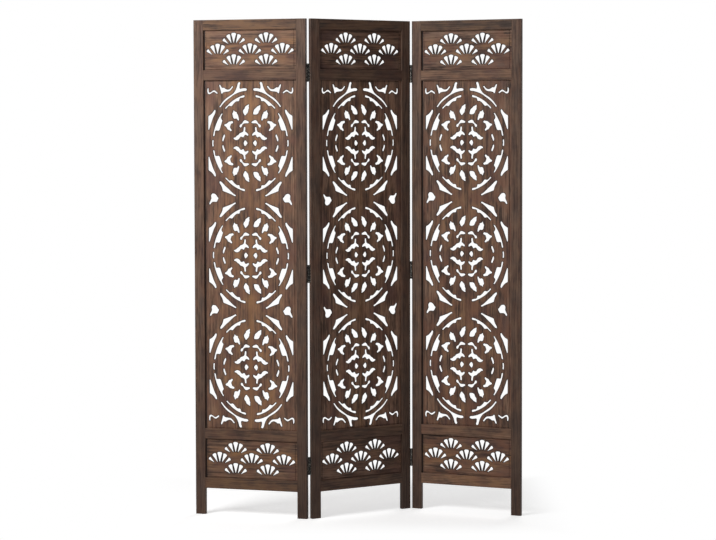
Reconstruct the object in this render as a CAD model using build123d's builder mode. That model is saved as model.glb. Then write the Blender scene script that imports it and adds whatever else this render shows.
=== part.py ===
from build123d import *
from math import cos, pi, radians, sin
import os

os.makedirs("parts", exist_ok=True)

# A folding screen of three framed panels. Each panel holds three thin pierced boards:
# a fan board at the top and the bottom, and a tall board with three medallions between.
# Sizes are in mm. X runs along the screen, Y away from its front, Z up.

# Panel and frame
panel_height = 1700.0
panel_width = 404.0
frame_thickness = 15.5
stile_width = 35.0
top_rail_height = 35.0
middle_rail_height = 35.0
bottom_rail_height = 36.0
leg_clearance = 91.0
fan_opening_height = 136.0
eased_edge = 1.0

# Rail tenons, glued into blind mortises of the stiles
tenon_length = 20.0
tenon_thickness = 6.0
tenon_shoulder = 5.0

# Pierced boards: a raised field, and a thinner tongue that slides in the frame's groove
board_recess = 6.25
board_thickness = 3.0
tongue_thickness = 2.0
tongue_length = 6.0
tongue_play = 0.1
groove_end_play = 0.4
field_side_margin = 9.5
field_end_margin = 4.0

# Fan boards: seven fans in rows of two, three and two, of five petals each
fan_pitch = 116.5
fan_row_pitch = 36.5
fan_top_gap = 9.5
fan_radius = 53.0
# angle from upright, inner radius, outer radius, radius of the shoulders, half width
fan_petals = [
    (-50.5, 25.0, 49.5, 43.0, 6.0),
    (-24.0, 19.5, 51.0, 44.0, 7.8),
    (0.0, 18.5, fan_radius, 46.5, 9.8),
    (24.0, 19.5, 51.0, 44.0, 7.8),
    (50.5, 25.0, 49.5, 43.0, 6.0),
]

# Medallion board: three medallions, one above the other
medallion_pitch = 383.5

# Cut-outs of one medallion, from its centre. These stand in all four quarters.
quarter_cuts = {
    "corner_sliver": [(126, 103), (127, 115), (152.3, 93), (151.5, 43)],
    "side_crescent": [
        (100.5, 103), (105.5, 87), (100, 78), (111.5, 42.5), (127, 42.5), (132.5, 22), (123.5, 68),
    ],
    "toothed_arc": [
        (19.5, 156.5), (20.5, 164), (60, 148), (91.5, 118), (67.5, 125.5), (40, 142), (36.5, 154),
    ],
    "outer_leaf": [(59.5, 114.5), (65.5, 100), (60, 83), (40.5, 76), (47.5, 107)],
    "side_spade": [(60.5, 72), (78, 75.5), (95.5, 62), (83, 46), (67.5, 40.5), (72.5, 56)],
    "small_dash": [(90.5, 29), (96, 30.5), (102, 8), (96.5, 5.5)],
    "brow": [(3.5, 70), (18.5, 79.5), (39.5, 60), (33, 52.5), (23.5, 67)],
    "bird": [(20.5, 58), (25, 39), (40.5, 33), (62.5, 17), (48.5, 10), (27, 20), (8, 25), (16.5, 39.5)],
}
# These stand in the upper and the lower half, and lean to the same side.
half_cuts = {
    "near_leaf": [(-3.5, 133.5), (-5.5, 113), (-18, 93.5), (-27.5, 109)],
    "far_leaf": [(37.5, 131.5), (36, 110), (26, 97), (10, 97), (15, 117)],
}
# These stand on the left and the right.
side_cuts = {
    "ring_dash": [(133, 11.5), (137.5, 11.5), (137.5, -11.5), (133, -11.5)],
    "eye": [(9, 1), (17.5, 11), (25, 0), (19, -11.5)],
}
# Between two medallions, from the middle between their centres
wedge_cut = [(52.5, 11), (101, 29), (113.5, 59), (107, 62.5), (80, 37)]
drop_cut = [(115.5, 3), (128, 20.5), (142.5, 17), (142, 0), (150.5, -19.5), (122, -10)]
# At both ends of the board, from the centre of the last medallion
antler_cut = [
    (10.5, 179.5), (11.5, 187), (36.5, 187), (34, 209.5), (43.5, 209.5), (53, 181), (87, 152.5),
    (111, 123.5), (64, 162),
]
moth_cut = [(61, 195.5), (80, 182.5), (96, 190), (111.5, 201), (103.5, 167.5), (77, 175.5)]
curl_cut = [
    (116.5, 168.5), (130, 181.5), (146.5, 174), (151, 189.5), (156, 172), (148.5, 166.5), (130, 174.5),
]

# Hinges: three butt hinges with five knuckles at each fold
hinge_heights = {"lower": 180.0, "middle": 836.0, "upper": panel_height - 182}
hinge_height = 61.0
leaf_thickness = 1.2
leaf_width = 12.5
knuckle_gap = 0.3
barrel_radius = 2.75
pin_radius = 1.3
pin_clearance = 0.05
pin_end = 0.8
pin_side_gap = 1.5
pin_face_gap = 3.0
barrel_sides = 12

# How the screen stands: the angle of each panel's front to the X axis
left_angle = -16.5
middle_angle = 33.2
right_angle = -24.2

# Levels
bottom_rail_centre = leg_clearance + bottom_rail_height / 2
lower_fan_low = leg_clearance + bottom_rail_height
lower_fan_centre = lower_fan_low + fan_opening_height / 2
lower_rail_centre = lower_fan_low + fan_opening_height + middle_rail_height / 2
main_opening_low = lower_rail_centre + middle_rail_height / 2
top_rail_centre = panel_height - top_rail_height / 2
upper_fan_high = panel_height - top_rail_height
upper_fan_centre = upper_fan_high - fan_opening_height / 2
upper_rail_centre = upper_fan_high - fan_opening_height - middle_rail_height / 2
main_opening_high = upper_rail_centre - middle_rail_height / 2
main_opening_height = main_opening_high - main_opening_low
main_centre = (main_opening_low + main_opening_high) / 2
opening_width = panel_width - 2 * stile_width

rails = {
    "bottom_rail": (bottom_rail_centre, bottom_rail_height),
    "lower_rail": (lower_rail_centre, middle_rail_height),
    "upper_rail": (upper_rail_centre, middle_rail_height),
    "top_rail": (top_rail_centre, top_rail_height),
}
openings = {
    "lower_fan_board": (lower_fan_centre, fan_opening_height),
    "medallion_board": (main_centre, main_opening_height),
    "upper_fan_board": (upper_fan_centre, fan_opening_height),
}

# Where the panels stand. A panel's plane lies on its front face, with its origin at the
# middle of the foot, its x along the panel and its y up. Each hinge pin stands beside a
# panel's edge: behind the screen at the left fold and in front of it at the right one.
BACK = 1
FRONT = -1
pin_depth = {BACK: frame_thickness + pin_face_gap, FRONT: -pin_face_gap}


def along(angle):
    return Vector(cos(radians(angle)), sin(radians(angle)), 0)


def into(angle):
    return Vector(-sin(radians(angle)), cos(radians(angle)), 0)


def pin_offset(angle, side, fold_face):
    """The way from the middle of a panel's front to the pin beside its left (-1) or right (1) edge."""
    return along(angle) * side * (panel_width / 2 + pin_side_gap) + into(angle) * pin_depth[fold_face]


middle_foot = Vector(0, 0, 0)
left_pin = middle_foot + pin_offset(middle_angle, -1, BACK)
right_pin = middle_foot + pin_offset(middle_angle, 1, FRONT)
left_foot = left_pin - pin_offset(left_angle, 1, BACK)
right_foot = right_pin - pin_offset(right_angle, -1, FRONT)


def outer_corners(foot, angle):
    half = along(angle) * (panel_width / 2)
    depth = into(angle) * frame_thickness
    return [foot - half, foot + half, foot - half + depth, foot + half + depth]


corners = (
    outer_corners(left_foot, left_angle)
    + outer_corners(middle_foot, middle_angle)
    + outer_corners(right_foot, right_angle)
)
xs = [corner.X for corner in corners]
ys = [corner.Y for corner in corners]
centre = Vector((min(xs) + max(xs)) / 2, (min(ys) + max(ys)) / 2, 0)


def panel_plane(foot, angle):
    return Plane(origin=foot - centre, x_dir=along(angle), z_dir=-into(angle))


panels = {
    "left": panel_plane(left_foot, left_angle),
    "middle": panel_plane(middle_foot, middle_angle),
    "right": panel_plane(right_foot, right_angle),
}


def save(part, name):
    part.label = name
    export_step(part, f"parts/{name}.step")


def depth(front, distance):
    """The panel's plane moved from the front face into the thickness."""
    return front.offset(-distance)


groove_width = tongue_thickness + 2 * tongue_play
groove_front = board_recess + board_thickness - tongue_thickness - tongue_play


def groove_outlines(front):
    """The outlines of the grooves that hold the tongues of all three boards."""
    with BuildSketch(depth(front, groove_front)) as grooves:
        for level, height in openings.values():
            with Locations((0, level)):
                Rectangle(opening_width + 2 * tongue_length, height + 2 * tongue_length)
    return grooves.sketch


def stile(panel, side):
    """An upright, with its foot. side is -1 for the left one and 1 for the right one."""
    front = panels[panel]
    with BuildPart() as upright:
        with BuildSketch(front):
            with Locations((side * (panel_width - stile_width) / 2, panel_height / 2)):
                Rectangle(stile_width, panel_height)
        extrude(amount=-frame_thickness)
        chamfer(upright.edges().filter_by(Axis.Z), length=eased_edge)
        with BuildSketch(depth(front, (frame_thickness - tenon_thickness) / 2)):
            for level, height in rails.values():
                with Locations((0, level)):
                    Rectangle(opening_width + 2 * tenon_length, height - 2 * tenon_shoulder)
        extrude(amount=-tenon_thickness, mode=Mode.SUBTRACT)
        extrude(groove_outlines(front), amount=-groove_width, mode=Mode.SUBTRACT)
    side_name = "left" if side < 0 else "right"
    save(upright.part, f"{panel}_panel_{side_name}_stile")


def rail(panel, name):
    """A cross rail with a tenon at each end."""
    front = panels[panel]
    level, height = rails[name]
    with BuildPart() as bar:
        with BuildSketch(front):
            with Locations((0, level)):
                Rectangle(opening_width, height)
        extrude(amount=-frame_thickness)
        chamfer(bar.edges().filter_by(Axis((0, 0, 0), front.x_dir)), length=eased_edge)
        with BuildSketch(depth(front, (frame_thickness - tenon_thickness) / 2)):
            with Locations((0, level)):
                Rectangle(opening_width + 2 * tenon_length, height - 2 * tenon_shoulder)
        extrude(amount=-tenon_thickness)
        extrude(groove_outlines(front), amount=-groove_width, mode=Mode.SUBTRACT)
    save(bar.part, f"{panel}_panel_{name}")


def mirrored(points, across, upwards):
    return [(x * across, z * upwards) for x, z in points]


def moved(points, level):
    return [(x, z + level) for x, z in points]


def medallion_cuts(level):
    cuts = []
    for across in (-1, 1):
        for upwards in (-1, 1):
            cuts += [mirrored(points, across, upwards) for points in quarter_cuts.values()]
        cuts += [mirrored(points, across, 1) for points in side_cuts.values()]
    for upwards in (-1, 1):
        cuts += [mirrored(points, 1, upwards) for points in half_cuts.values()]
    return [moved(points, level) for points in cuts]


def between_cuts(level):
    cuts = []
    for across in (-1, 1):
        cuts += [mirrored(wedge_cut, across, upwards) for upwards in (-1, 1)]
        cuts.append(mirrored(drop_cut, across, 1))
    return [moved(points, level) for points in cuts]


def end_cuts(upwards):
    cuts = []
    for across in (-1, 1):
        for points in (antler_cut, moth_cut, curl_cut):
            cuts.append(mirrored(moved(points, medallion_pitch), across, upwards))
    return cuts


def fan_cuts(tip_x, tip_z):
    """The five petals of one fan, which spread from a point fan_radius below its tip."""
    focus_z = tip_z - fan_radius
    cuts = []
    for angle, inner, outer, shoulder, half_width in fan_petals:
        petal = [(0, inner), (half_width, shoulder), (0, outer), (-half_width, shoulder)]
        turn_sin = sin(radians(angle))
        turn_cos = cos(radians(angle))
        cuts.append(
            [(tip_x + x * turn_cos + z * turn_sin, focus_z - x * turn_sin + z * turn_cos) for x, z in petal]
        )
    return cuts


def fan_board_cuts():
    first_tip = fan_opening_height / 2 - fan_top_gap
    cuts = []
    for row, fans in enumerate((2, 3, 2)):
        for fan in range(fans):
            tip_x = (fan - (fans - 1) / 2) * fan_pitch
            cuts += fan_cuts(tip_x, first_tip - row * fan_row_pitch)
    return cuts


def medallion_board_cuts():
    cuts = end_cuts(1) + end_cuts(-1)
    for step in (-1, 0, 1):
        cuts += medallion_cuts(step * medallion_pitch)
    for step in (-0.5, 0.5):
        cuts += between_cuts(step * medallion_pitch)
    return cuts


def board(panel, name, cuts, turned=1):
    """A pierced board: a raised field with the cut-outs, and a thinner tongue all round it."""
    back = depth(panels[panel], board_recess + board_thickness)
    level, height = openings[name]
    tongue = tongue_length - groove_end_play
    field_size = (opening_width - 2 * field_side_margin, height - 2 * field_end_margin)
    with BuildPart() as sheet:
        with BuildSketch(back):
            with Locations((0, level)):
                Rectangle(opening_width + 2 * tongue, height + 2 * tongue)
                Rectangle(*field_size, mode=Mode.SUBTRACT)
        extrude(amount=tongue_thickness)
        with BuildSketch(back):
            with Locations((0, level)):
                Rectangle(*field_size)
            outlines = [moved(mirrored(points, turned, turned), level) for points in cuts]
            openwork = [Polygon(*points, align=None, mode=Mode.PRIVATE) for points in outlines]
            add(openwork, mode=Mode.SUBTRACT)
        extrude(amount=board_thickness)
    save(sheet.part, f"{panel}_panel_{name}")


for panel in panels:
    for side in (-1, 1):
        stile(panel, side)
    for name in rails:
        rail(panel, name)
    for name in ("lower_fan_board", "upper_fan_board"):
        board(panel, name, fan_board_cuts())
    # The middle panel's medallion board is set in the other way up.
    board(panel, "medallion_board", medallion_board_cuts(), turned=-1 if panel == "middle" else 1)


# Knuckles count from the bottom. The right-hand leaf holds the pin fast. The left-hand leaf
# turns on it, so the flats of its bore stand clear of the pin's corners.
knuckle_count = 5
knuckle_height = (hinge_height - (knuckle_count - 1) * knuckle_gap) / knuckle_count
left_leaf_knuckles = (1, 3)
right_leaf_knuckles = (0, 2, 4)
fast_bore = pin_radius
turning_bore = (pin_radius + pin_clearance) / cos(pi / barrel_sides)


def hinge_leaf(name, panel, side, fold_face, level, knuckles, bore):
    """A flat leaf on the panel's edge, rolled round the pin at its own knuckles."""
    front = panels[panel]
    edge = side * panel_width / 2
    pin_x = edge + side * pin_side_gap
    pin_y = pin_depth[fold_face]
    base = level - hinge_height / 2
    flat_centre = pin_y - fold_face * (pin_face_gap + leaf_width) / 2
    strap_centre = pin_y - fold_face * leaf_width / 2
    plate_centre = edge + side * leaf_thickness / 2
    # A level plane, with x along the panel and y into it, turned so that its z is up
    ground = Plane(origin=front.origin, x_dir=front.x_dir, z_dir=(0, 0, 1))
    with BuildPart() as leaf:
        with BuildSketch(ground.offset(base)):
            with Locations((plate_centre, flat_centre)):
                Rectangle(leaf_thickness, leaf_width - pin_face_gap)
        extrude(amount=hinge_height)
        for knuckle in knuckles:
            foot = base + knuckle * (knuckle_height + knuckle_gap)
            with BuildSketch(ground.offset(foot)):
                with Locations((plate_centre, strap_centre)):
                    Rectangle(leaf_thickness, leaf_width)
                with Locations((pin_x, pin_y)):
                    RegularPolygon(barrel_radius, barrel_sides)
                    RegularPolygon(bore, barrel_sides, mode=Mode.SUBTRACT)
            extrude(amount=knuckle_height)
    save(leaf.part, name)


def hinge_pin(name, panel, side, fold_face, level):
    front = panels[panel]
    ground = Plane(origin=front.origin, x_dir=front.x_dir, z_dir=(0, 0, 1))
    with BuildPart() as pin:
        with BuildSketch(ground.offset(level - hinge_height / 2 - pin_end)):
            with Locations((side * (panel_width / 2 + pin_side_gap), pin_depth[fold_face])):
                RegularPolygon(pin_radius, barrel_sides)
        extrude(amount=hinge_height + 2 * pin_end)
    save(pin.part, name)


folds = {"left_fold": ("left", "middle", BACK), "right_fold": ("middle", "right", FRONT)}
for fold, (left_hand, right_hand, fold_face) in folds.items():
    for place, level in hinge_heights.items():
        hinge = f"{fold}_{place}_hinge"
        hinge_leaf(f"{hinge}_left_leaf", left_hand, 1, fold_face, level, left_leaf_knuckles, turning_bore)
        hinge_leaf(f"{hinge}_right_leaf", right_hand, -1, fold_face, level, right_leaf_knuckles, fast_bore)
        hinge_pin(f"{hinge}_pin", right_hand, -1, fold_face, level)

for name, pin in (("left fold", left_pin), ("right fold", right_pin)):
    print(name, "pin axis at", round(pin.X - centre.X, 3), round(pin.Y - centre.Y, 3))
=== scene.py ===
import bmesh
import bpy
import math
from mathutils import Matrix, Vector, geometry, kdtree


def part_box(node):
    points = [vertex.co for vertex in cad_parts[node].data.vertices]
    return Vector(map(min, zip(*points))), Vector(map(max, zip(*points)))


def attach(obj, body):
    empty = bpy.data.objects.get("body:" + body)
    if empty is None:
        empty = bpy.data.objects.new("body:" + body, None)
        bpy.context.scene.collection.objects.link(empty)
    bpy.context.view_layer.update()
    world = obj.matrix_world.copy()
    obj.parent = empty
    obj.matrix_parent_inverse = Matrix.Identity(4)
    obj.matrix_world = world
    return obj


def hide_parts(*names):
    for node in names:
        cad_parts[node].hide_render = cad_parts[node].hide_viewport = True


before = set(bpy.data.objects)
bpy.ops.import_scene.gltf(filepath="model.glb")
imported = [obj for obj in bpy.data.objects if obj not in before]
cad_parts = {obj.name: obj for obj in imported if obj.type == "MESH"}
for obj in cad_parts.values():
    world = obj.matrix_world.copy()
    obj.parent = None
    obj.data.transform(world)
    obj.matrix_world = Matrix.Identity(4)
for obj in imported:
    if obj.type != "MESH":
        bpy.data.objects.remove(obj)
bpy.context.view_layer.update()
scene = bpy.context.scene
mm = 0.001
print("frame loaded,", len(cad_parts), "nodes")


def middleOf(node):
    low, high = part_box(node)
    return (low + high) / 2


class Panel:  # one panel of the screen, with x along it, y from its front to its back, and z up
    def __init__(self, side):
        self.body = side + "_panel"
        left = middleOf(self.node("left_stile"))
        right = middleOf(self.node("right_stile"))
        across = (right - left).normalized()
        self.turn = math.atan2(across.y, across.x)
        foot = (left + right) / 2
        foot.z = 0
        self.place = Matrix.Translation(foot) @ Matrix.Rotation(self.turn, 4, "Z")
        depth = self.extents(self.node("left_stile"))[1].y
        self.place = self.place @ Matrix.Translation((0, -depth, 0))  # the front is at y = 0

    def node(self, piece):
        return self.body + "_" + piece

    def extents(self, node):  # the node's lowest and highest corner, on the panel's own axes
        inverse = self.place.inverted()
        spots = [inverse @ vertex.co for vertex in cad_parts[node].data.vertices]
        low = Vector([min(spot[axis] for spot in spots) for axis in range(3)])
        high = Vector([max(spot[axis] for spot in spots) for axis in range(3)])
        return low, high

    def opening(self, below, above):  # the clear space between two rails and the two stiles
        left = self.extents(self.node("left_stile"))[1].x
        right = self.extents(self.node("right_stile"))[0].x
        low = self.extents(self.node(below))[1].z
        high = self.extents(self.node(above))[0].z
        return left, right, low, high


panels = {side: Panel(side) for side in ("left", "middle", "right")}
print("panels found, turned", [round(math.degrees(panel.turn), 1) for panel in panels.values()])


class Signal:  # the output of a node, so that shader maths is written as an expression
    def __init__(self, shader, socket):
        self.shader = shader
        self.socket = socket

    def maths(self, operation, *values):
        return self.shader.node("ShaderNodeMath", {"operation": operation}, dict(enumerate(values)))

    def __add__(self, other):
        return self.maths("ADD", self, other)

    def __radd__(self, other):
        return self.maths("ADD", other, self)

    def __sub__(self, other):
        return self.maths("SUBTRACT", self, other)

    def __rsub__(self, other):
        return self.maths("SUBTRACT", other, self)

    def __mul__(self, other):
        return self.maths("MULTIPLY", self, other)

    def __rmul__(self, other):
        return self.maths("MULTIPLY", other, self)

    def __truediv__(self, other):
        return self.maths("DIVIDE", self, other)

    def __rtruediv__(self, other):
        return self.maths("DIVIDE", other, self)

    def __abs__(self):
        return self.maths("ABSOLUTE", self)

    def fraction(self):
        return self.maths("FRACT", self)

    def larger(self, other):
        return self.maths("MAXIMUM", self, other)

    def between(self, low, high, start=0.0, end=1.0):  # a soft step from start to end
        settings = {"interpolation_type": "SMOOTHSTEP"}
        inputs = {"Value": self, "From Min": low, "From Max": high, "To Min": start, "To Max": end}
        return self.shader.node("ShaderNodeMapRange", settings, inputs)

    def sibling(self, output):  # another output of the same node
        return Signal(self.shader, self.socket.node.outputs[output])


class Shader:  # the nodes of one material or of the world
    def __init__(self, owner):
        self.owner = owner
        owner.use_nodes = True
        self.nodes = owner.node_tree.nodes
        self.links = owner.node_tree.links
        self.nodes.clear()

    def node(self, kind, settings=None, inputs=None, output=0):
        made = self.nodes.new(kind)
        for setting, value in (settings or {}).items():
            if setting == "stops":
                self.setStops(made.color_ramp, value)
            else:
                setattr(made, setting, value)
        for place, value in (inputs or {}).items():
            if isinstance(value, Signal):
                self.links.new(value.socket, made.inputs[place])
            else:
                made.inputs[place].default_value = value
        return Signal(self, made.outputs[output]) if made.outputs else None

    def setStops(self, ramp, stops):
        while len(ramp.elements) < len(stops):
            ramp.elements.new(1.0)
        for element, (position, colour) in zip(ramp.elements, stops):
            element.position = position
            element.color = (*colour, 1.0)

    def spot(self):  # where a point lies on its object
        return self.node("ShaderNodeTexCoord", None, None, "Object")

    def split(self, vector):
        first = self.node("ShaderNodeSeparateXYZ", None, {0: vector})
        return first, first.sibling(1), first.sibling(2)

    def noise(self, vector, scale, detail, roughness):
        inputs = {"Vector": vector, "Scale": scale, "Detail": detail, "Roughness": roughness}
        return self.node("ShaderNodeTexNoise", None, inputs)

    def mixed(self, amount, first, second, style="MIX"):  # colours, which the Mix node keeps apart
        settings = {"data_type": "RGBA", "blend_type": style, "clamp_factor": True}
        inputs = {0: amount, 6: first, 7: second}
        for place in (6, 7):
            if not isinstance(inputs[place], Signal):
                inputs[place] = (*inputs[place], 1.0)
        return self.node("ShaderNodeMix", settings, inputs, 2)

    def seenDirectly(self):  # 1 for what the camera sees, also in a mirror or through glass
        seen = self.node("ShaderNodeLightPath", None, None, "Is Camera Ray")
        return seen.larger(seen.sibling("Is Glossy Ray")).larger(seen.sibling("Is Transmission Ray"))

    def surface(self, inputs):
        shell = self.node("ShaderNodeBsdfPrincipled", None, inputs)
        self.node("ShaderNodeOutputMaterial", None, {"Surface": shell})
        return self.owner


woodLook = {
    "pore": (0.020, 0.011, 0.008),
    # dark is also laid on the stiles as painted shade towards the floor
    "dark": (0.048, 0.027, 0.019),
    "brown": (0.112, 0.064, 0.044),
    "light": (0.225, 0.135, 0.094),
    "golden": (0.262, 0.132, 0.056),
    "rust": (0.185, 0.082, 0.048),
    "plum": (0.098, 0.049, 0.041),
    "grey": (0.120, 0.083, 0.066),
    # The colour of arrises worn lighter, partly a painted highlight where light catches them
    "rubbedAndLit": (0.270, 0.170, 0.120),
    # The colour of burnt wood, also laid on as painted shadow beside a stile and painted shade on the
    # outer arrises
    "charAndShade": (0.016, 0.009, 0.007),
    # Noise patterns: how fast each changes along the grain as a share of how fast across it, a shift
    # that sets it apart from the others, and its scale, detail and roughness
    "streaks": (0.05, 3.1, 115.0, 4.0, 0.78),
    "fibres": (0.016, 7.7, 520.0, 3.0, 0.65),
    "blotches": (0.4, 1.3, 28.0, 3.0, 0.6),
    "clouds": (0.6, 9.4, 14.0, 2.0, 0.5),
    "swing": (0.22, 5.0, 9.0, 2.0, 0.4),
    "tints": (0.5, 6.6, 40.0, 2.0, 0.6),
    "streakSwing": 3.3,  # how far three of them swing the lightness
    "blotchSwing": 2.2,
    "fibreSwing": 2.2,
    # Between which values of its pattern each hue comes in
    "goldenStep": (0.43, 0.6),
    "goldenShares": (0.45, 0.35, 0.2),  # its pattern is made of blotches, streaks and fibres
    "plumStep": (0.48, 0.64),
    "rustStep": (0.42, 0.61),
    "rustShares": (0.65, 0.35),  # of tints and streaks
    "greyStep": (0.40, 0.62),
    "greyReach": (0.12, 0.19),  # grey comes in full between these distances from a panel's middle
    "greyInside": 0.3,  # its share further in
    "warmFade": (0.4, 1.25),  # a board's gold fades between these shares of its reach
    "warmLeft": 0.3,  # what is left of it further out
    # Growth rings
    "ringPitch": 9.0 * mm,
    "ringSlant": 0.7,  # how far they shift through the thickness
    "ringSwing": 9.0,  # how many pitches they wander
    "latewoodStart": (0.45, 0.9),  # as shares of a ring
    "latewoodEnd": (0.9, 1.0),
    # Pores, seam, burnt rims, painted shadow and shade, and wear that is partly a painted highlight
    "poreStep": (0.38, 0.27),
    "poreDepth": 0.6,
    "seamEdge": (2.0 * mm, 11.0 * mm),
    "seamWander": 50.0 * mm,
    "rimWander": 0.4,
    "rimStep": (0.1, 0.85),
    "rimChar": 0.92,
    "stileShadowEdge": (4.0 * mm, 6.5 * mm),  # how far the shadow painted beside a stile reaches over the board
    "arris": 1.5 * mm,  # how wide the arrises are tinted: worn lighter and partly a painted highlight, and on the outer ones painted shade
    "arrisWander": 3.0 * mm,
    "shadedOuter": (0.192, 0.198),  # how far from a panel's middle its outer arrises begin, painted dark as shade beside the gaps
    "arrisWearAndLight": 0.5,
    "outerShade": 0.4,  # painted shade added on the outer arrises
    "floorShade": 0.55,  # how dark the painted shade makes the stiles at the floor
    "floorShadeHeight": 0.8,
    # Gloss and relief
    "roughness": 0.66,
    "sheen": 0.12,  # how much smoother the light wood is
    "poreRoughness": 0.2,
    "specular": 0.25,
    "bump": {"Strength": 0.35, "Distance": 0.4 * mm},
    "fibreRelief": 0.3,
    "streakRelief": 0.4,
    "latewoodRelief": -0.3,
}
# What holds for a piece of wood where its own dictionary says nothing else
plainWood = {
    "grain": "up",  # or "along"
    "tone": 1.0,  # how light the piece is
    "contrast": 1.0,  # how strong its figure is
    "lines": 0.42,  # how plain the growth rings are
    "golden": 0.4,  # how much of each hue shows, in patches
    "plum": 0.4,
    "rust": 0.3,
    "grey": 0.4,
    "warmAt": 0.0,  # the height of a board's middle
    "warmReach": 0.0,  # how far its gold reaches from its middle, across the grain
    "seam": 0.0,  # the glued joint in a board's middle: golden above 0, dark below
    "rims": False,  # whether the rims of the cut-outs are burnt
    "burnt": 0.0,  # how burnt the whole surface is
    "corner": None,  # where the left-hand stile ends, and how dark the shadow painted on the board beside it is
    "ends": None,  # the piece's corners, for the wear on its arrises
}


class WoodShader(Shader):  # one wooden surface, on its panel's own axes
    def __init__(self, name, panel, seed, look):
        super().__init__(bpy.data.materials.new(name))
        self.look = dict(plainWood, **look)
        self.upright = self.look["grain"] == "up"
        self.seed = seed
        start = panel.place.translation
        inputs = {0: self.spot(), 1: start}
        moved = self.node("ShaderNodeVectorMath", {"operation": "SUBTRACT"}, inputs)
        inputs = {"Vector": moved, "Angle": -panel.turn}
        turned = self.node("ShaderNodeVectorRotate", {"rotation_type": "Z_AXIS"}, inputs)
        self.x, self.y, self.z = self.split(turned)
        self.streaks = self.pattern("streaks")
        self.fibres = self.pattern("fibres")
        self.blotches = self.pattern("blotches")
        self.latewood = self.rings()
        self.lightness = self.figure()
        self.pores = self.fibres.between(*woodLook["poreStep"]) * woodLook["poreDepth"]

    def pattern(self, name):  # noise drawn out along the grain
        slowness, shift, scale, detail, roughness = woodLook[name]
        if self.upright:
            values = {0: self.x + (self.seed + shift), 1: self.y, 2: self.z * slowness}
        else:
            values = {0: self.x * slowness, 1: self.y + (self.seed + shift), 2: self.z}
        return self.noise(self.node("ShaderNodeCombineXYZ", None, values), scale, detail, roughness)

    def rings(self):  # 1 in the dark lines of latewood
        across = (self.x if self.upright else self.z) + self.y * woodLook["ringSlant"]
        wander = self.pattern("swing") * woodLook["ringSwing"]
        ring = (across / woodLook["ringPitch"] + wander).fraction()
        return ring.between(*woodLook["latewoodStart"]) - ring.between(*woodLook["latewoodEnd"])

    def figure(self):  # 0 where the wood is dark, 1 where it is light
        streaky = (self.streaks - 0.5) * woodLook["streakSwing"]
        blotchy = (self.blotches - 0.5) * woodLook["blotchSwing"]
        fibrous = (self.fibres - 0.5) * woodLook["fibreSwing"]
        lines = self.look["lines"]
        figure = (streaky + blotchy + fibrous) * self.look["contrast"]
        return figure - self.latewood * lines + 0.5 + 0.25 * lines  # the last evens out the rings

    def stained(self, colour):  # with patches of other hues
        look = self.look
        shares = woodLook["goldenShares"]
        warmth = self.blotches * shares[0] + self.streaks * shares[1] + self.fibres * shares[2]
        warmth = warmth.between(*woodLook["goldenStep"]) * look["golden"]
        if look["warmReach"]:
            away = abs(self.x if self.upright else self.z - look["warmAt"])
            start, end = [share * look["warmReach"] for share in woodLook["warmFade"]]
            warmth = warmth * away.between(start, end, 1.0, woodLook["warmLeft"])
        colour = self.mixed(warmth, colour, woodLook["golden"])
        clouds = self.pattern("clouds")
        plumness = clouds.between(*woodLook["plumStep"]) * look["plum"]
        colour = self.mixed(plumness, colour, woodLook["plum"])
        shares = woodLook["rustShares"]
        redness = self.pattern("tints") * shares[0] + self.streaks * shares[1]
        redness = redness.between(*woodLook["rustStep"]) * look["rust"]
        colour = self.mixed(redness, colour, woodLook["rust"])
        greyness = (self.streaks - clouds + 0.5).between(*woodLook["greyStep"])
        outwards = abs(self.x).between(*woodLook["greyReach"], woodLook["greyInside"], 1.0)
        return self.mixed(greyness * outwards * look["grey"], colour, woodLook["grey"])

    def marked(self, colour):  # with its seam, pores, burns and the shadow painted beside the left-hand stile
        look = self.look
        if look["seam"]:
            hue = woodLook["golden" if look["seam"] > 0 else "dark"]
            away = abs(self.x) + (self.streaks - 0.5) * woodLook["seamWander"]
            near = away.between(*woodLook["seamEdge"], abs(look["seam"]), 0.0)
            colour = self.mixed(near, colour, hue)
        colour = self.mixed(self.pores, colour, woodLook["pore"])
        if look["rims"]:
            rim = self.node("ShaderNodeAttribute", {"attribute_name": "burn"}, None, "Fac")
            rim = (rim + (self.streaks - 0.5) * woodLook["rimWander"]).between(*woodLook["rimStep"])
            colour = self.mixed(rim * woodLook["rimChar"], colour, woodLook["charAndShade"])
        if look["burnt"]:
            colour = self.mixed(look["burnt"], colour, woodLook["charAndShade"])
        # Painted shadow: the left-hand stile's shadow darkens the margin beside it
        if look["corner"]:
            edge, amount = look["corner"]
            start, end = woodLook["stileShadowEdge"]
            stileShadow = self.x.between(edge + start, edge + end, amount, 0.0)
            colour = self.mixed(stileShadow, colour, woodLook["charAndShade"])
        return colour

    def worn(self, colour):  # with arrises worn lighter and partly a painted highlight, outer arrises in painted shade, and stiles in painted shade towards the floor
        low, high = self.look["ends"]
        sides = [(self.x, low.x, high.x), (self.y, low.y, high.y), (self.z, low.z, high.z)]
        gaps = [(high - low) / 2 - abs(value - (low + high) / 2) for value, low, high in sides]
        first, second = (gaps[0], gaps[1]) if self.upright else (gaps[1], gaps[2])
        # Arrises worn lighter: partly real wear, partly a painted highlight where light catches them
        arris = first.larger(second) + (self.streaks - 0.5) * woodLook["arrisWander"]
        shadedOuter = abs(self.x).between(*woodLook["shadedOuter"])
        wear = arris.between(0.0, woodLook["arris"] * (1 + shadedOuter), 1.0, 0.0)
        wear = wear * (shadedOuter * woodLook["outerShade"] + woodLook["arrisWearAndLight"])
        # The outer arrises are painted dark, as shade beside the gaps between panels
        edges = self.mixed(shadedOuter, woodLook["rubbedAndLit"], woodLook["charAndShade"])
        colour = self.mixed(wear, colour, edges)
        # Painted shade: the stiles darken towards the floor, standing in for the lamp's light falling
        # off
        if self.upright:
            floorShade = self.z.between(0.0, woodLook["floorShadeHeight"], woodLook["floorShade"], 0.0)
            colour = self.mixed(floorShade, colour, woodLook["dark"])
        return colour

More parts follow.
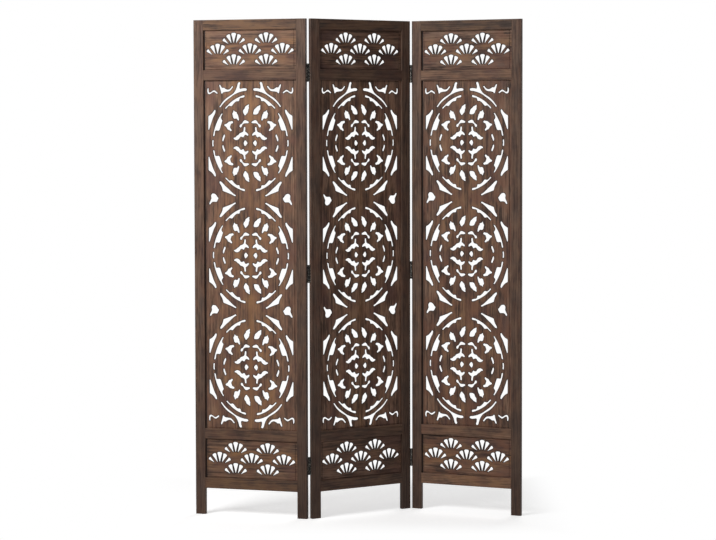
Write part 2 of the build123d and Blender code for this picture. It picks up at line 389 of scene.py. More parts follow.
    def material(self):
        stops = [(0.0, woodLook["dark"]), (0.5, woodLook["brown"]), (1.0, woodLook["light"])]
        colour = self.node("ShaderNodeValToRGB", {"stops": stops}, {"Fac": self.lightness})
        colour = self.marked(self.stained(colour))
        if self.look["ends"]:
            colour = self.worn(colour)
        colour = self.mixed(1.0, colour, [self.look["tone"]] * 3, "MULTIPLY")
        relief = self.fibres * woodLook["fibreRelief"] + self.streaks * woodLook["streakRelief"]
        relief = relief + self.latewood * woodLook["latewoodRelief"]
        gloss = woodLook["roughness"] - self.lightness * woodLook["sheen"]
        return self.surface({
            "Base Color": colour,
            "Roughness": gloss + self.pores * woodLook["poreRoughness"],
            "Specular IOR Level": woodLook["specular"],
            "Normal": self.node("ShaderNodeBump", None, dict(woodLook["bump"], Height=relief)),
        })


frameLooks = {
    "left_stile": {"grain": "up", "golden": 0.35, "plum": 0.3, "grey": 0.5},
    "right_stile": {"grain": "up", "golden": 0.4, "plum": 0.3, "grey": 0.4},
    "top_rail": {"grain": "along", "golden": 1.2, "plum": 0.25, "grey": 0.4},
    "upper_rail": {"grain": "along", "golden": 0.5, "plum": 0.5, "grey": 0.2},
    "lower_rail": {"grain": "along", "golden": 0.4, "plum": 0.4, "grey": 0.3},
    "bottom_rail": {"grain": "along", "golden": 0.7, "plum": 0.4, "grey": 0.3},
}
frameWood = {
    "contrast": 0.8,
    "seeds": (11.3, 2.9),  # from panel to panel and from piece to piece, so that no grain is repeated
}
# No two panels are stained alike. warmth: how golden all of its wood is; tones: how light each piece
# is; upsideDown: the boards that stand the other way up; seam, rust, contrast and corner: the look of
# its boards, corner being how dark the shadow painted on them beside the left-hand stile is.
panelLooks = {
    "left": {
        "warmth": 1.0,
        "tones": {
            "left_stile": 0.90, "right_stile": 0.72, "top_rail": 0.76, "upper_rail": 0.78,
            "lower_rail": 0.80, "bottom_rail": 0.67, "medallion_board": 1.17,
            "upper_fan_board": 1.12, "lower_fan_board": 1.0,
        },
        "upsideDown": (),
        "seam": 0.36,
        "rust": 0.4,
        "contrast": 0.85,
        "corner": 0.95,
    },
    "middle": {
        "warmth": 0.45,
        "tones": {
            "left_stile": 0.88, "right_stile": 0.70, "top_rail": 0.60, "upper_rail": 0.62,
            "lower_rail": 0.66, "bottom_rail": 0.64, "medallion_board": 1.26,
            "upper_fan_board": 0.93, "lower_fan_board": 0.9,
        },
        "upsideDown": ("medallion_board",),
        "seam": 0.15,
        "rust": 0.3,
        "contrast": 1.4,
        "corner": 0.3,
    },
    "right": {
        "warmth": 0.9,
        "tones": {
            "left_stile": 0.90, "right_stile": 0.80, "top_rail": 0.56, "upper_rail": 1.06,
            "lower_rail": 1.08, "bottom_rail": 1.18, "medallion_board": 1.0,
            "upper_fan_board": 0.94, "lower_fan_board": 1.04,
        },
        "upsideDown": (),
        "seam": -0.4,
        "rust": 0.65,
        "contrast": 1.2,
        "corner": 0.95,
    },
}


def dressFrame(number, side):
    panel = panels[side]
    stain = panelLooks[side]
    for order, (piece, look) in enumerate(frameLooks.items()):
        node = panel.node(piece)
        kind = dict(look, contrast=frameWood["contrast"], ends=panel.extents(node))
        kind["tone"] = stain["tones"][piece]
        kind["golden"] = look["golden"] * stain["warmth"]
        seed = frameWood["seeds"][0] * number + frameWood["seeds"][1] * order
        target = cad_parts[node].data
        target.materials.clear()
        target.materials.append(WoodShader("wood_" + node, panel, seed, kind).material())


for number, side in enumerate(panels):
    dressFrame(number, side)
print("frames dressed")


# Cut-outs of one medallion, from its middle, in millimetres. These stand in all four quarters.
quarterCuts = {
    "bird": [
        (20, 56), (23.2, 54), (24.2, 47), (26, 40.5), (31, 37), (38, 34.5), (43.5, 28.5),
        (49, 25.5), (54, 20.5), (60, 18.8), (61.5, 16.5), (58, 13), (51, 10.5), (44, 12), (39, 16),
        (36, 21), (32, 22.2), (29, 21), (26, 19.5), (23.5, 21), (20, 27), (16.5, 28.3), (13, 27),
        (9, 25), (6.2, 28), (9, 33.5), (15, 38.5), (17.8, 41), (17, 48), (17.5, 54.5),
    ],
    "brow": [
        (4, 71), (5.5, 73.5), (11, 76.5), (18, 79), (24, 76.5), (28, 70.5), (31, 66.5),
        (36.5, 63.5), (39, 59), (37.5, 54.5), (33.5, 53.5), (30, 57), (27, 63.5), (22, 67),
        (17, 67.8), (8, 68),
    ],
    "sideSpade": [
        (61, 71.5), (63, 75), (67, 75.8), (72, 74.5), (77, 74), (82, 70), (87, 66.5), (92, 65),
        (94.5, 62), (92, 58.5), (88, 56), (84, 50.5), (81.5, 46.5), (76, 44.5), (72.5, 41.5),
        (69, 41), (66.5, 43.5), (68.5, 48), (72, 52.5), (72.3, 56), (70.5, 61), (69, 65.5),
        (63.5, 68),
    ],
    "smallDash": [
        (91, 27), (93, 30), (96, 28.5), (98.5, 23), (101, 17), (101.8, 11), (100.5, 6.5),
        (97.5, 6.5), (95.5, 11), (93.5, 17), (91, 23),
    ],
    "outerLeaf": [
        (59, 113), (60.5, 112), (62, 106), (65, 101), (63.5, 95), (62, 88), (60, 85), (56, 83),
        (51, 84.2), (47.5, 82), (45, 78), (42, 76.8), (39.8, 80), (41.5, 89), (44, 97.5), (47, 101),
        (48, 106), (52, 107.5), (56, 109),
    ],
    "toothedArc": [
        (21, 163.5), (30, 161.5), (40, 157.5), (50, 152.8), (60, 147), (70, 140), (80, 131),
        (90, 121.5), (91.3, 119), (89.5, 117), (87, 117.5), (82, 122.5), (77, 127), (73, 127),
        (68, 126), (65, 127.5), (60, 133.5), (55, 138.5), (49, 142.5), (45, 142.8), (42, 142.8),
        (39, 145), (38, 150), (35, 153.8), (30, 154.5), (25, 155.5), (21, 156.5), (19.3, 160),
    ],
    "sideCrescent": [
        (101, 102.5), (99.7, 100.5), (102, 96), (104.5, 91), (105.3, 86.5), (103.5, 82),
        (100.8, 79), (100.5, 75.5), (102.5, 70.5), (105, 62.5), (108.5, 52), (111, 45.5), (114, 43),
        (118, 42.7), (122, 43.4), (125.5, 42.5), (127.2, 39), (128, 32), (129.5, 26), (132.5, 23.3),
        (135, 25), (134.7, 28.5), (133, 37), (130, 48), (126, 60), (121, 72), (115, 84), (109, 94),
        (104, 101),
    ],
    "cornerSliver": [
        (126, 113.5), (129, 114), (131.5, 111.5), (135, 106.5), (140, 101), (145, 97),
        (149.5, 94.5), (152, 91.5), (152.3, 75), (152.4, 60), (152.4, 49), (151, 45), (149, 46),
        (147, 51), (144, 60), (140, 71), (136, 82.5), (131.5, 92.5), (127, 101), (125.3, 107),
        (124.7, 111),
    ],
}
# These stand in the upper and the lower half, and lean to the same side.
halfCuts = {
    "nearLeaf": [
        (-5.5, 132.6), (-3.5, 131), (-4.5, 125), (-3.4, 120), (-5.7, 115), (-6.5, 109), (-9, 103),
        (-13.5, 98.5), (-16, 95.2), (-18, 94.2), (-20.5, 95.5), (-23.5, 100.5), (-26, 105.5),
        (-26, 111), (-23.5, 115), (-20.5, 118.5), (-19, 123), (-16, 126.5), (-11, 129.5),
        (-8, 131.5),
    ],
    "farLeaf": [
        (35.5, 130.3), (37.5, 128.5), (37, 121), (36.8, 114.5), (33, 110.5), (31, 105),
        (28.5, 100.5), (23, 97.6), (17, 97.4), (12.5, 97.7), (10.3, 101), (12, 109), (15, 115.5),
        (21, 120.5), (25, 124.8), (28.5, 126.5), (32, 128),
    ],
}
# These stand on the left and the right.
sideCuts = {
    "ringDash": [
        (132.6, 9), (135, 11.5), (137.8, 9.5), (138.4, 0), (137.8, -9.5), (135, -11.5), (132.6, -9),
        (133.3, 0),
    ],
    "eye": [
        (9.5, 1), (13.5, 7), (17.5, 10), (21.5, 8), (24.3, 1), (22.5, -6), (19, -10.5), (15, -7),
        (11.5, -3),
    ],
}
# Between two medallions, from the middle between them. The wedge stands above and below it, and
# both stand on the left and the right.
wedgeCut = [
    (52.5, 14), (56, 10.5), (60.8, 12.5), (70, 17), (80, 20.8), (90, 24.5), (100, 28.5),
    (101.3, 30), (102, 34.8), (105, 43.8), (108, 48.8), (112.5, 56.8), (112, 61), (109, 61.8),
    (105, 59.8), (100, 55.3), (90, 45.3), (80, 36.8), (70, 27.3), (60, 18.8),
]
dropCut = [
    (116, 4), (119.5, 8), (123.5, 14), (128.5, 18.5), (134.7, 20), (139.8, 19), (143.8, 12),
    (142.8, 3), (146, -5), (150, -14), (148.4, -18.5), (145, -17), (138.7, -10), (131.6, -9),
    (123.5, -9), (119.5, -4),
]
# At all four corners of the board, from its middle.
endCuts = {
    "antler": [
        (11.1, 566), (13.2, 569.5), (20.3, 571), (30.4, 570), (35.4, 569), (37.5, 573), (36.5, 582),
        (34.4, 587.5), (36.5, 591.2), (40.5, 591.7), (44.6, 587.5), (46.6, 580), (50.6, 569),
        (55.7, 560), (62.8, 552), (73.2, 545.4), (86.7, 536.8), (99.1, 525), (107.6, 513.8),
        (111.4, 508.4), (107.6, 506), (101.6, 513.2), (92.4, 523.2), (80.4, 532.8), (68.6, 541.1),
        (58.7, 548), (48.6, 553), (38.5, 557), (25.3, 560.5), (14.2, 562),
    ],
    "moth": [
        (60.8, 575.5), (62.8, 578), (65.8, 577), (73, 569), (81, 566.5), (89, 569.5), (94.2, 573),
        (101.3, 573), (105.3, 579.5), (108.5, 583.5), (112, 581.5), (109.4, 572), (106.3, 562),
        (105, 555), (102.3, 552), (99.2, 554), (96.2, 557), (86, 559), (77, 560), (70.9, 563),
        (64.8, 570),
    ],
    "curl": [
        (118.5, 557), (123.5, 561), (129.6, 564.5), (135.7, 563), (140.8, 559), (145.8, 557),
        (148.9, 559), (149.9, 566), (150, 571), (152.9, 572), (155, 568), (155.4, 560),
        (152.9, 553), (147.9, 551), (141.8, 553), (135.7, 557), (130.6, 558.5), (124.6, 555),
        (119.5, 552), (117, 553.5),
    ],
}
medallions = {"pitch": 383.5, "count": 3}
fans = {
    "pitch": 116.5,
    "rowPitch": 36.5,
    "topGap": 9.5,
    "rows": (2, 3, 2),
    "reach": 53,
    # How far each petal leans, where it starts and ends, and half its greatest width
    "petals": [
        (-50.5, 25, 50, 5.6), (-24.5, 19.5, 51.5, 7.7), (0, 18.5, 53, 9.2),
        (24.5, 19.5, 51.5, 7.7), (50.5, 25, 50, 5.6),
    ],
    # One side of a petal, in shares of its half width and of its length
    "petalSide": [
        (0.13, 0.03), (0.3, 0.22), (0.56, 0.48), (0.84, 0.73),
        (1.0, 0.87), (0.88, 0.945), (0.42, 1.0),
    ],
}


def flipped(outline, across, upward):
    return [(x * across, z * upward) for x, z in outline]


def raised(outline, level):
    return [(x, z + level) for x, z in outline]


def medallionCuts():
    cuts = []
    for number in range(medallions["count"]):
        level = (number - (medallions["count"] - 1) / 2) * medallions["pitch"]
        for across in (-1, 1):
            for upward in (-1, 1):
                cuts += [raised(flipped(cut, across, upward), level) for cut in quarterCuts.values()]
            cuts += [raised(flipped(cut, across, 1), level) for cut in sideCuts.values()]
        for upward in (-1, 1):
            cuts += [raised(flipped(cut, 1, upward), level) for cut in halfCuts.values()]
    for number in range(medallions["count"] - 1):
        level = (number - (medallions["count"] - 2) / 2) * medallions["pitch"]
        for across in (-1, 1):
            cuts += [raised(flipped(wedgeCut, across, upward), level) for upward in (-1, 1)]
            cuts.append(raised(flipped(dropCut, across, 1), level))
    for across in (-1, 1):
        for upward in (-1, 1):
            cuts += [flipped(cut, across, upward) for cut in endCuts.values()]
    return cuts


def petal(inner, outer, half):  # flat-topped with rounded shoulders, narrow at its foot
    side = [(share * half, inner + rise * (outer - inner)) for share, rise in fans["petalSide"]]
    return [(0, inner)] + side + [(-x, z) for x, z in reversed(side)]


def fanCuts(height):
    cuts = []
    for row, count in enumerate(fans["rows"]):
        focus = height / 2 - fans["topGap"] - fans["reach"] - row * fans["rowPitch"]
        for number in range(count):
            middle = (number - (count - 1) / 2) * fans["pitch"]
            for lean, inner, outer, half in fans["petals"]:
                across, up = math.sin(math.radians(lean)), math.cos(math.radians(lean))
                cuts.append([
                    (middle + x * up + z * across, focus - x * across + z * up)
                    for x, z in petal(inner, outer, half)
                ])
    return cuts


boards = {
    "sideMargin": (8.3 * mm, 9.5 * mm),  # from the stiles to the foot and the top of the step
    "endMargin": (2.8 * mm, 4.0 * mm),  # the same from the rails
    "tongue": 2.0 * mm,
    "arris": 0.35 * mm,  # the eased edge of every cut-out
    "rim": 3.4 * mm,  # how far the burnt rims reach
    "rimCell": 1.6,  # how many spots at the end of a rim fit in its reach
    "rimSlack": 0.92,  # how near to another cut-out such a spot may be, as a share of the reach
    "rimMargin": 1.0 * mm,  # how far within the step it stays
    "chord": 3.0 * mm,  # the longest straight piece of a curve
    "sharpFrom": 32,  # degrees
    "plum": 0.6,
    "grey": 0.1,
    "wallBurn": 0.75,
    "stepBurn": 0.5,
    "backTone": 0.85,  # against the face's
    "seeds": (31.7, 5.3),  # from panel to panel and from board to board
}
boardParts = ("face", "cuts", "step", "margin", "back")
boardLooks = {
    "medallion_board": {
        "between": ("lower_rail", "upper_rail"),
        "wood": {"grain": "up", "golden": 0.85, "lines": 0.22, "warmReach": 0.12},
    },
    "upper_fan_board": {
        "between": ("upper_rail", "top_rail"),
        "wood": {"grain": "along", "golden": 1.3, "lines": 0.3, "warmReach": 0.04},
    },
    "lower_fan_board": {
        "between": ("bottom_rail", "lower_rail"),
        "wood": {"grain": "along", "golden": 0.95, "lines": 0.3, "warmReach": 0.04},
    },
}


def smoothed(outline, chord):  # a closed Catmull-Rom curve through the points
    count = len(outline)
    spots = [Vector(spot) for spot in outline]
    curve = []
    for number in range(count):
        before, start, end, after = [spots[(number + step) % count] for step in (-1, 0, 1, 2)]
        steps = max(1, math.ceil((end - start).length / chord))
        for step in range(steps):
            t = step / steps
            curve.append(0.5 * (
                2 * start + (end - before) * t + (2 * before - 5 * start + 4 * end - after) * t * t
                + (3 * start - before - 3 * end + after) * t * t * t
            ))
    return curve


def turnedLeft(curve):  # anticlockwise, so that the outside is always on the right
    area = sum(a.x * b.y - b.x * a.y for a, b in zip(curve, curve[1:] + curve[:1]))
    return curve if area > 0 else curve[::-1]


def grown(curve, amount):  # the curve moved outwards
    result = []
    for number, spot in enumerate(curve):
        along = curve[(number + 1) % len(curve)] - curve[number - 1]
        out = Vector((along.y, -along.x)).normalized()
        result.append(spot + out * amount)
    return result


def boardCurves(piece, base, top, upsideDown):  # the cut-outs in metres, on the panel's own axes
    cuts = medallionCuts() if piece == "medallion_board" else fanCuts((top - base) / mm)
    middle = (base + top) / 2
    way = -1 if upsideDown else 1
    curves = []
    for cut in cuts:
        spots = [(x * mm, z * mm + middle) for x, z in flipped(cut, way, way)]
        curves.append(turnedLeft(smoothed(spots, boards["chord"])))
    return curves


def rimSpots(curves, field):  # spots of the field round the cut-outs, where the burnt rims end
    every = [spot for curve in curves for spot in curve]
    tree = kdtree.KDTree(len(every))
    for number, spot in enumerate(every):
        tree.insert((spot.x, spot.y, 0), number)
    tree.balance()
    reach = boards["rim"]
    low, high = field[0], field[2]
    kept = {}
    for curve in curves:
        for spot in grown(curve, reach):
            inside = low.x < spot.x < high.x and low.y < spot.y < high.y
            if inside and tree.find((spot.x, spot.y, 0))[2] > boards["rimSlack"] * reach:
                cell = [round(value / reach * boards["rimCell"]) for value in spot]
                kept.setdefault(tuple(cell), spot)
    return list(kept.values())


def rectangle(left, right, low, high, sideways=0.0, upward=0.0):
    return [
        Vector((left + sideways, low + upward)), Vector((right - sideways, low + upward)),
        Vector((right - sideways, high - upward)), Vector((left + sideways, high - upward)),
    ]


def addObject(name, data):
    made = bpy.data.objects.new(name, data)
    scene.collection.objects.link(made)
    return made


def meshObject(name, mesh, sharpFrom):
    bmesh.ops.recalc_face_normals(mesh, faces=mesh.faces)
    for edge in mesh.edges:
        if len(edge.link_faces) == 2 and edge.calc_face_angle() > math.radians(sharpFrom):
            edge.smooth = False
    data = bpy.data.meshes.new(name)
    mesh.to_mesh(data)
    mesh.free()
    return addObject(name, data)


class BoardMesh:  # a pierced board, whose faces take the material slots that boardParts gives
    def __init__(self, panel):
        self.mesh = bmesh.new()
        self.burn = self.mesh.verts.layers.float.new("burn")
        self.place = panel.place

    def loop(self, curve, y):
        return [self.mesh.verts.new(self.place @ Vector((spot.x, y, spot.y))) for spot in curve]

    def strip(self, loops, part):  # quads between one loop and the next
        for first, second in zip(loops, loops[1:]):
            for number in range(len(first)):
                after = (number + 1) % len(first)
                corners = (first[number], first[after], second[after], second[number])
                face = self.mesh.faces.new(corners)
                face.material_index = boardParts.index(part)
                face.smooth = part == "cuts"

    def fill(self, curves, loops, part, clear, y):  # an outside, its holes, and spots clear of them
        spots = [spot for curve in curves for spot in curve] + clear
        verts = [vert for loop in loops for vert in loop] + self.loop(clear, y)
        for loop in loops[1:]:
            for vert in loop:
                vert[self.burn] = 1.0
        rings = []
        start = 0
        for curve in curves:
            rings.append(list(range(start, start + len(curve))))
            start += len(curve)
        filled = geometry.delaunay_2d_cdt(spots, [], rings, 2, 1e-7)  # 2 leaves the holes empty
        triangles, origins = filled[2], filled[3]
        for triangle in triangles:
            face = self.mesh.faces.new([verts[origins[corner][0]] for corner in triangle])
            face.material_index = boardParts.index(part)


def carveBoard(panel, node, left, right, base, top, curves):  # the opening's sides, and the cut-outs
    low, high = panel.extents(node)
    front, back = low.y, high.y
    shoulder = back - boards["tongue"]
    footEdge, topEdge = [
        rectangle(left, right, base, top, sideways, upward)
        for sideways, upward in zip(boards["sideMargin"], boards["endMargin"])
    ]
    tongueEdge = rectangle(low.x, high.x, low.z, high.z)
    board = BoardMesh(panel)
    topLoop = board.loop(topEdge, front)
    footLoop = board.loop(footEdge, shoulder)
    tongueLoop = board.loop(tongueEdge, shoulder)
    backLoop = board.loop(tongueEdge, back)
    board.strip([topLoop, footLoop], "step")
    board.strip([footLoop, tongueLoop, backLoop], "margin")
    frontLoops = [board.loop(curve, front) for curve in curves]
    backLoops = [board.loop(curve, back) for curve in curves]
    for curve, frontLoop, lastLoop in zip(curves, frontLoops, backLoops):
        narrow = grown(curve, -boards["arris"])
        upper = board.loop(narrow, front + boards["arris"])
        lower = board.loop(narrow, back - boards["arris"])
        board.strip([frontLoop, upper, lower, lastLoop], "cuts")
    margins = [boards[margin][1] + boards["rimMargin"] for margin in ("sideMargin", "endMargin")]
    clear = rimSpots(curves, rectangle(left, right, base, top, *margins))
    board.fill([topEdge] + curves, [topLoop] + frontLoops, "face", clear, front)
    board.fill([tongueEdge] + curves, [backLoop] + backLoops, "back", clear, back)
    return meshObject(node + "_carved", board.mesh, boards["sharpFrom"])


def makeBoard(number, order, side, piece):
    panel = panels[side]
    stain = panelLooks[side]
    look = boardLooks[piece]
    node = panel.node(piece)
    left, right, base, top = panel.opening(*look["between"])
    curves = boardCurves(piece, base, top, piece in stain["upsideDown"])
    made = carveBoard(panel, node, left, right, base, top, curves)
    tone = stain["tones"][piece]
    kind = dict(
        look["wood"],
        golden=look["wood"]["golden"] * stain["warmth"],
        plum=boards["plum"],
        grey=boards["grey"],
        rust=stain["rust"],
        contrast=stain["contrast"],
        seam=stain["seam"] if piece == "medallion_board" else 0.0,
        warmAt=(base + top) / 2,
        tone=tone,
    )
    ways = {
        "face": {"rims": True},
        "cuts": {"burnt": boards["wallBurn"]},
        "step": {"burnt": boards["stepBurn"]},
        # The margin takes the shadow painted beside the left-hand stile
        "margin": {"corner": (left, stain["corner"])},
        "back": {"rims": True, "tone": boards["backTone"] * tone},
    }
    seed = boards["seeds"][0] * number + boards["seeds"][1] * order
    for part in boardParts:
        shader = WoodShader(part + "_" + node, panel, seed, dict(kind, **ways[part]))
        made.data.materials.append(shader.material())
    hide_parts(node)
    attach(made, panel.body)


for number, side in enumerate(panels):
    for order, piece in enumerate(boardLooks):
        makeBoard(number, order, side, piece)
    print("boards of the", side, "panel carved")


hingeSizes = {
    "leafThickness": 1.2 * mm,
    "leafEase": 0.2 * mm,
    "knuckles": 5,
    "knuckleGap": 0.5 * mm,
    "knuckleEase": 0.5 * mm,
    "webReach": 0.55,  # how far the leaf runs on over its knuckles, as a share of their radius
    "webEase": 0.15 * mm,
    "barrelRadius": 2.75 * mm,
    "pinRadius": 1.3 * mm,
    "pinPlay": 0.05 * mm,
    "pinDome": [(0.35, 0.0), (0.75, 0.12), (1.0, 0.4)],  # radius and height, as shares of the radius
    "roundness": 32,
    "sharpFrom": 28,  # degrees
}
metalLook = {
    "black": (0.014, 0.012, 0.011),
    "worn": (0.520, 0.480, 0.430),
    "mottle": (260.0, 4.0, 0.65),  # scale, detail and roughness of the noise
    "scratches": (900.0, 2.0, 0.6),
    "bareShares": (0.7, 0.3),  # of the two in the pattern of bare steel
    "bareStep": (0.5, 0.6),  # between which values of it the steel comes through
    "leafWear": 0.75,
    "screwWear": 0.95,
    "metallic": 0.5,
    "bareMetallic": 0.4,  # added where it is bare
    "roughness": 0.48,
    "bareSheen": 0.12,
    "scratchRoughness": 0.1,
    "bump": {"Strength": 0.2, "Distance": 0.1 * mm},
}


def metalMaterial(name, wear):
    shader = Shader(bpy.data.materials.new(name))
    spot = shader.spot()
    mottle = shader.noise(spot, *metalLook["mottle"])
    scratches = shader.noise(spot, *metalLook["scratches"])
    shares = metalLook["bareShares"]
    bare = mottle * shares[0] + scratches * shares[1]
    bare = bare.between(*metalLook["bareStep"]) * wear
    gloss = metalLook["roughness"] - bare * metalLook["bareSheen"]
    return shader.surface({
        "Base Color": shader.mixed(bare, metalLook["black"], metalLook["worn"]),
        "Metallic": bare * metalLook["bareMetallic"] + metalLook["metallic"],
        "Roughness": gloss + scratches * metalLook["scratchRoughness"],
        "Normal": shader.node("ShaderNodeBump", None, dict(metalLook["bump"], Height=mottle)),
    })


blackSteel = metalMaterial("blackened_steel", metalLook["leafWear"])
screwSteel = metalMaterial("screw_steel", metalLook["screwWear"])


def ringAt(mesh, middle, radius, level):
    ring = []
    for number in range(hingeSizes["roundness"]):
        angle = 2 * math.pi * number / hingeSizes["roundness"]
        spot = (middle.x + radius * math.cos(angle), middle.y + radius * math.sin(angle), level)
        ring.append(mesh.verts.new(spot))
    return ring


def joinRings(mesh, rings, closed=False):
    pairs = list(zip(rings, rings[1:]))
    if closed:
        pairs.append((rings[-1], rings[0]))
    for first, second in pairs:
        for number in range(len(first)):
            after = (number + 1) % len(first)
            mesh.faces.new((first[number], first[after], second[after], second[number]))


def addKnuckle(mesh, middle, low, high):  # a tube with eased rims
    inner = hingeSizes["pinRadius"] + hingeSizes["pinPlay"]
    outer = hingeSizes["barrelRadius"]
    ease = hingeSizes["knuckleEase"]
    profile = [
        (inner, low), (outer - ease, low), (outer, low + ease),
        (outer, high - ease), (outer - ease, high), (inner, high),
    ]
    joinRings(mesh, [ringAt(mesh, middle, radius, level) for radius, level in profile], closed=True)


def addPlate(mesh, low, high, ease):  # a box with chamfered edges: three points at each corner
    corners = [(x, y, z) for x in (0, 1) for y in (0, 1) for z in (0, 1)]
    points = {}
    for corner in corners:
        for axis in range(3):  # the point on the side across this axis
            spot = [high[other] - ease if corner[other] else low[other] + ease for other in range(3)]
            spot[axis] = high[axis] if corner[axis] else low[axis]
            points[corner, axis] = mesh.verts.new(spot)
        mesh.faces.new([points[corner, axis] for axis in range(3)])
    for axis in range(3):
        first, second = [other for other in range(3) if other != axis]
        for corner in corners:
            if corner[axis] == 0:  # the chamfer along this axis
                far = tuple(1 if other == axis else corner[other] for other in range(3))
                chamfer = [(corner, first), (corner, second), (far, second), (far, first)]
                mesh.faces.new([points[place] for place in chamfer])
        for end in (0, 1):
            side = [corner for corner in corners if corner[axis] == end]
            mesh.faces.new([points[side[place], axis] for place in (0, 1, 3, 2)])


def makeSteel(name, mesh, panel, material, nodes=()):
    for face in mesh.faces:
        face.smooth = True
    mesh.transform(panel.place)
    piece = meshObject(name, mesh, hingeSizes["sharpFrom"])
    piece.data.materials.append(material)
    if nodes:
        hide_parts(*nodes)
    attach(piece, panel.body)


def makeLeaf(hinge, hand, panel, knuckles):
    node = hinge + "_" + hand + "_leaf"
    low, high = panel.extents(node)
    pin = panel.place.inverted() @ middleOf(hinge + "_pin")
    side = 1 if pin.x > 0 else -1
    stile = panel.extents(panel.node("right_stile" if side > 0 else "left_stile"))
    behind = pin.y > stile[1].y
    edge = stile[1].x if side > 0 else stile[0].x
    face = edge + side * hingeSizes["leafThickness"]
    bend = stile[1].y if behind else stile[0].y  # where the leaf meets the stile's arris
    far = low.y if behind else high.y
    xs, ys = sorted((edge, face)), sorted((far, bend))
    mesh = bmesh.new()
    addPlate(mesh, (xs[0], ys[0], low.z), (xs[1], ys[1], high.z), hingeSizes["leafEase"])
    away = hingeSizes["barrelRadius"] * (-1 if behind else 1)
    web = sorted((bend, pin.y + away * hingeSizes["webReach"]))
    step = (high.z - low.z) / hingeSizes["knuckles"]
    gap = hingeSizes["knuckleGap"] / 2
    last = hingeSizes["knuckles"] - 1
    for number in knuckles:
        base = low.z if number == 0 else low.z + number * step + gap
        top = high.z if number == last else low.z + (number + 1) * step - gap
        addKnuckle(mesh, pin, base, top)
        addPlate(mesh, (xs[0], web[0], base), (xs[1], web[1], top), hingeSizes["webEase"])
    makeSteel(node + "_steel", mesh, panel, blackSteel, [node])
    for number, share in enumerate(screwSizes["heights"]):
        level = low.z + (high.z - low.z) * share
        makeScrew(node + "_screw" + str(number + 1), panel, face, side, (far + bend) / 2, level)


screwSizes = {
    "heights": (0.17, 0.5, 0.83),  # shares of the leaf's height
    "radius": 2.7 * mm,
    "corners": 24,
    "profile": [(1.0, -0.9 * mm), (1.0, 0.12 * mm), (0.93, 0.2 * mm), (0.55, 0.28 * mm)],
    "slotArms": 4,
    "slotReach": 0.46,  # how far out an arm reaches, as a share of the radius
    "slotWaist": 0.16,  # the same between two arms
    "slotDepth": 0.5 * mm,
}


def makeScrew(name, panel, face, side, y, level):  # a countersunk head with a crossed slot
    mesh = bmesh.new()
    corners = screwSizes["corners"]
    armPitch = corners // screwSizes["slotArms"]

    def ring(shares, rise):  # points about the screw's axis, so high above the leaf
        made = []
        for number, share in enumerate(shares):
            angle = 2 * math.pi * number / corners
            size = screwSizes["radius"] * share
            spot = (face + side * rise, y + size * math.cos(angle), level + size * math.sin(angle))
            made.append(mesh.verts.new(spot))
        return made

    rings = [ring([share] * corners, rise) for share, rise in screwSizes["profile"]]
    star = [
        screwSizes["slotWaist" if number % armPitch else "slotReach"] for number in range(corners)
    ]
    rings.append(ring(star, screwSizes["profile"][-1][1]))
    depth = Vector((side * screwSizes["slotDepth"], 0, 0))
    rings.append([mesh.verts.new(vert.co - depth) for vert in rings[-1]])
    joinRings(mesh, rings)
    mesh.faces.new(rings[-1])
    mesh.faces.new(rings[0])
    makeSteel(name, mesh, panel, screwSteel)


def makePin(hinge, panel):  # a rod with domed ends
    low, high = panel.extents(hinge + "_pin")
    middle = (low + high) / 2
    radius = hingeSizes["pinRadius"]
    mesh = bmesh.new()
    rings = []
    for share, rise in hingeSizes["pinDome"]:
        rings.append(ringAt(mesh, middle, radius * share, low.z + rise * radius))
    for share, rise in reversed(hingeSizes["pinDome"]):
        rings.append(ringAt(mesh, middle, radius * share, high.z - rise * radius))
    joinRings(mesh, rings)
    mesh.faces.new(rings[0][::-1])
    mesh.faces.new(rings[-1])
    makeSteel(hinge + "_pin_steel", mesh, panel, screwSteel, [hinge + "_pin"])


folds = {"left_fold": ("left", "middle"), "right_fold": ("middle", "right")}
for fold, (leftHand, rightHand) in folds.items():
    for place in ("lower", "middle", "upper"):
        hinge = fold + "_" + place + "_hinge"
        makeLeaf(hinge, "left", panels[leftHand], (1, 3))  # its knuckles, counted from 0 below
        makeLeaf(hinge, "right", panels[rightHand], (0, 2, 4))
        makePin(hinge, panels[rightHand])
print("hinges made")


floorLook = {
    "size": 60.0,
    "colour": (0.86, 0.86, 0.86),
    "glow": 0.52,
    # Where shadows show: round this spot, fading out between these distances across and deep
    "middle": (-0.04, 0.22),
    "across": (0.54, 0.78),
    "deep": (0.36, 0.66),
}


def floorMaterial():
    shader = Shader(bpy.data.materials.new("floor_white"))
    x, y, _ = shader.split(shader.spot())
    across = abs(x - floorLook["middle"][0]).between(*floorLook["across"])
    deep = abs(y - floorLook["middle"][1]).between(*floorLook["deep"])
    seen = shader.seenDirectly()
    matt = shader.node("ShaderNodeBsdfDiffuse", None, {"Color": (*floorLook["colour"], 1.0)})
    glow = shader.node("ShaderNodeEmission", None, {"Strength": floorLook["glow"]})
    lifted = shader.node("ShaderNodeAddShader", None, {0: matt, 1: glow})
    lit = shader.node("ShaderNodeMixShader", None, {0: seen, 1: matt, 2: lifted})
    white = shader.node("ShaderNodeEmission")
    faded = across.larger(deep) * seen
    both = shader.node("ShaderNodeMixShader", None, {0: faded, 1: lit, 2: white})
    shader.node("ShaderNodeOutputMaterial", None, {"Surface": both})
    return shader.owner


def makeFloor():
    mesh = bmesh.new()
    bmesh.ops.create_grid(mesh, x_segments=1, y_segments=1, size=floorLook["size"] / 2)
    data = bpy.data.meshes.new("floor")
    mesh.to_mesh(data)
    mesh.free()
    data.materials.append(floorMaterial())
    floor = addObject("floor", data)


skyLook = {"colour": (1.0, 1.0, 1.0, 1.0), "strength": 0.10, "backdrop": 1.0}


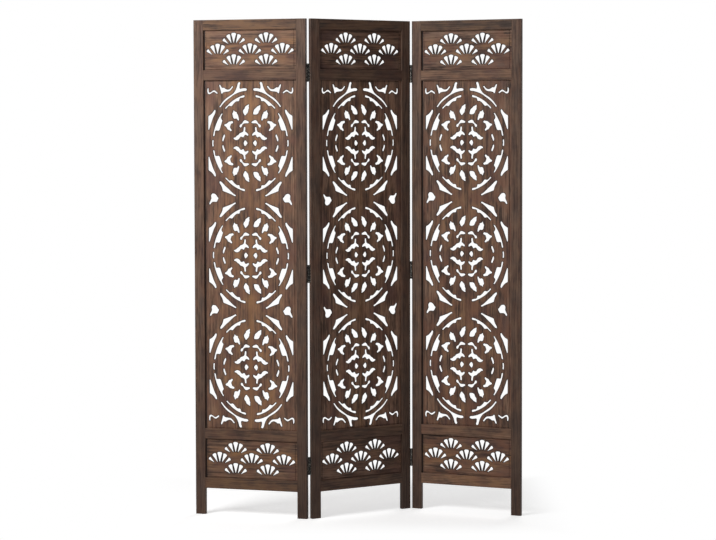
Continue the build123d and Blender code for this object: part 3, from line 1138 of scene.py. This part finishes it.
def makeSky():
    world = bpy.data.worlds.new("studio")
    scene.world = world
    shader = Shader(world)
    sky, backdrop = [
        shader.node("ShaderNodeBackground", None, {"Color": skyLook["colour"], "Strength": strength})
        for strength in (skyLook["strength"], skyLook["backdrop"])
    ]
    both = shader.node("ShaderNodeMixShader", None, {0: shader.seenDirectly(), 1: sky, 2: backdrop})
    shader.node("ShaderNodeOutputWorld", None, {"Surface": both})


lamps = {
    "key": {"spot": (-1.9, -1.7, 2.4), "aim": (0.0, 0.0, 1.1), "size": 1.2, "power": 62.0},
    "fill": {"spot": (2.4, -3.2, 1.6), "aim": (0.1, 0.0, 0.8), "size": 2.4, "power": 4.0},
    "rear": {"spot": (1.2, 3.2, 2.2), "aim": (0.0, 0.0, 0.9), "size": 2.0, "power": 45.0},
}


def makeLamp(name, settings):
    light = bpy.data.lights.new(name, "AREA")
    light.shape = "SQUARE"
    light.size = settings["size"]
    light.energy = settings["power"]
    lamp = addObject(name, light)
    lamp.location = settings["spot"]
    aim = Vector(settings["aim"]) - Vector(settings["spot"])
    lamp.rotation_euler = aim.to_track_quat("-Z", "Y").to_euler()


view = {
    "imageWidth": 716,
    "focalPixels": 2269.8,
    "spot": (0.0509, -7.7934, 1.3291),
    "pitch": -2.8645,  # degrees, as the next two
    "roll": 0.1211,
    "turn": 0.3682,
    "drop": 28.0,  # how far the picture's middle lies below the lens axis, in pixels
    "sensor": 36.0,
    "farthest": 200.0,
}


def makeCamera():
    data = bpy.data.cameras.new("camera")
    data.sensor_fit = "HORIZONTAL"
    data.sensor_width = view["sensor"]
    data.lens = view["focalPixels"] / view["imageWidth"] * view["sensor"]
    data.shift_y = -view["drop"] / view["imageWidth"]
    data.clip_end = view["farthest"]
    camera = addObject("camera", data)
    camera.location = view["spot"]
    angles = (90 + view["pitch"], view["roll"], view["turn"])
    camera.rotation_euler = [math.radians(angle) for angle in angles]
    scene.camera = camera


makeFloor()
makeSky()
for name, settings in lamps.items():
    makeLamp(name, settings)
makeCamera()
scene.view_settings.view_transform = "Standard"
print("floor, light and camera set")
